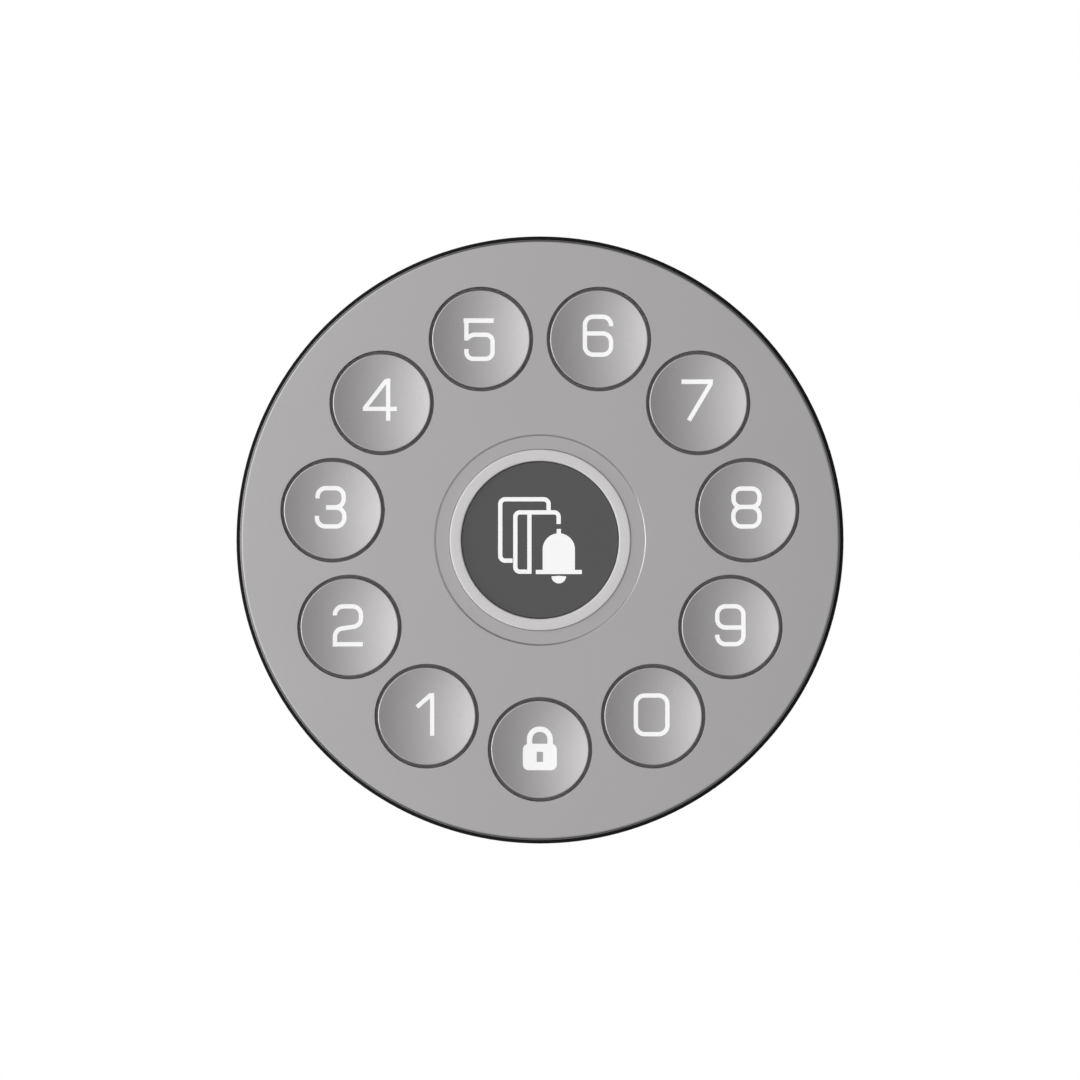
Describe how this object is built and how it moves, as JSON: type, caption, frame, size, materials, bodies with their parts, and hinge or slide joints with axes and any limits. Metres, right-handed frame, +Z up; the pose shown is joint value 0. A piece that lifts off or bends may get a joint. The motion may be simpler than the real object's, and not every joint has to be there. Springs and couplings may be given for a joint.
{
  "type": "smart lock keypad",
  "caption": "Round battery-powered keypad for a smart lock, with a ring of dished keys about a lit bell button, on a bayonet wall plate.",
  "frame": {"origin": "centre of the wall plate's back face, where the unit's own axis meets the wall", "axes": "+Y into the wall, +Z up, +X to the right of a person who faces the keys"},
  "size_m": [0.08, 0.0241, 0.08],
  "materials": {
    "black_plastic": "moulded, fine spark texture",
    "face_finish": "neutral grey metallic, satin",
    "key_finish": "the face's grey, on a smooth dish",
    "legend_ink": "white ink of the digits and pictograms",
    "silicone": "matt silicone",
    "foam": "closed-cell foam",
    "light_guide": "milky diffuser",
    "smoked_lens": "smoked, smooth",
    "nickel": "nickel plated",
    "steel": "zinc plated",
    "black_steel": "blackened",
    "cell_wrap": "plain shrink sleeve",
    "film": "polyester film",
    "board": "green solder mask",
    "copper": "enamelled copper winding",
    "ferrite": "sintered sheet"
  },
  "bodies": {
    "wall_mount": {"wall_plate": "black_plastic", "wall_gasket": "foam", "tamper_magnet": "nickel"},
    "unit": {"rear_housing": "black_plastic", "face_seal": "silicone", "face_plate": "face_finish", "battery_tray": "black_plastic", "battery_cover": "black_plastic", "battery_cell_1": "cell_wrap", "battery_cell_2": "cell_wrap", "battery_cell_3": "cell_wrap", "positive_contact": "nickel", "negative_contact": "nickel", "upper_bridge_contact": "nickel", "lower_bridge_contact": "nickel", "key_mat": "silicone", "dome_sheet": "film", "main_board": "board", "card_antenna": "copper", "ferrite_sheet": "ferrite", "led_ring": "film", "bell_switch": "steel", "buzzer": "black_plastic", "radio_module": "steel", "tamper_sensor": "black_plastic", "clamp_screw": "black_steel", "housing_screw_1": "steel", "housing_screw_2": "steel", "housing_screw_3": "steel", "housing_screw_4": "steel", "housing_screw_5": "steel", "board_screw_1": "steel", "board_screw_2": "steel", "board_screw_3": "steel"},
    "key_lock": {"key_lock": "key_finish", "key_plunger_lock": "silicone"},
    "key_1": {"key_1": "key_finish", "key_plunger_1": "silicone"},
    "key_2": {"key_2": "key_finish", "key_plunger_2": "silicone"},
    "key_3": {"key_3": "key_finish", "key_plunger_3": "silicone"},
    "key_4": {"key_4": "key_finish", "key_plunger_4": "silicone"},
    "key_5": {"key_5": "key_finish", "key_plunger_5": "silicone"},
    "key_6": {"key_6": "key_finish", "key_plunger_6": "silicone"},
    "key_7": {"key_7": "key_finish", "key_plunger_7": "silicone"},
    "key_8": {"key_8": "key_finish", "key_plunger_8": "silicone"},
    "key_9": {"key_9": "key_finish", "key_plunger_9": "silicone"},
    "key_0": {"key_0": "key_finish", "key_plunger_0": "silicone"},
    "bell_button": {"light_ring": "light_guide", "centre_lens": "smoked_lens", "bell_plunger": "silicone"}
  },
  "joints": [
    {"name": "unit_twist", "type": "hinge", "parent": "wall_mount", "child": "unit", "pos_m": [0, 0, 0], "axis": [0, -1, 0], "range_deg": [0, 24]},
    {"name": "key_lock_press", "type": "slide", "parent": "unit", "child": "key_lock", "axis": [0, 1, 0], "range_m": [0, 0.0007], "stiffness_N_per_m": 1500, "springref_m": -0.0005},
    {"name": "key_1_press", "type": "slide", "parent": "unit", "child": "key_1", "axis": [0, 1, 0], "range_m": [0, 0.0007], "stiffness_N_per_m": 1500, "springref_m": -0.0005},
    {"name": "key_2_press", "type": "slide", "parent": "unit", "child": "key_2", "axis": [0, 1, 0], "range_m": [0, 0.0007], "stiffness_N_per_m": 1500, "springref_m": -0.0005},
    {"name": "key_3_press", "type": "slide", "parent": "unit", "child": "key_3", "axis": [0, 1, 0], "range_m": [0, 0.0007], "stiffness_N_per_m": 1500, "springref_m": -0.0005},
    {"name": "key_4_press", "type": "slide", "parent": "unit", "child": "key_4", "axis": [0, 1, 0], "range_m": [0, 0.0007], "stiffness_N_per_m": 1500, "springref_m": -0.0005},
    {"name": "key_5_press", "type": "slide", "parent": "unit", "child": "key_5", "axis": [0, 1, 0], "range_m": [0, 0.0007], "stiffness_N_per_m": 1500, "springref_m": -0.0005},
    {"name": "key_6_press", "type": "slide", "parent": "unit", "child": "key_6", "axis": [0, 1, 0], "range_m": [0, 0.0007], "stiffness_N_per_m": 1500, "springref_m": -0.0005},
    {"name": "key_7_press", "type": "slide", "parent": "unit", "child": "key_7", "axis": [0, 1, 0], "range_m": [0, 0.0007], "stiffness_N_per_m": 1500, "springref_m": -0.0005},
    {"name": "key_8_press", "type": "slide", "parent": "unit", "child": "key_8", "axis": [0, 1, 0], "range_m": [0, 0.0007], "stiffness_N_per_m": 1500, "springref_m": -0.0005},
    {"name": "key_9_press", "type": "slide", "parent": "unit", "child": "key_9", "axis": [0, 1, 0], "range_m": [0, 0.0007], "stiffness_N_per_m": 1500, "springref_m": -0.0005},
    {"name": "key_0_press", "type": "slide", "parent": "unit", "child": "key_0", "axis": [0, 1, 0], "range_m": [0, 0.0007], "stiffness_N_per_m": 1500, "springref_m": -0.0005},
    {"name": "bell_press", "type": "slide", "parent": "unit", "child": "bell_button", "axis": [0, 1, 0], "range_m": [0, 0.0006], "stiffness_N_per_m": 1500, "springref_m": -0.0005}
  ]
}
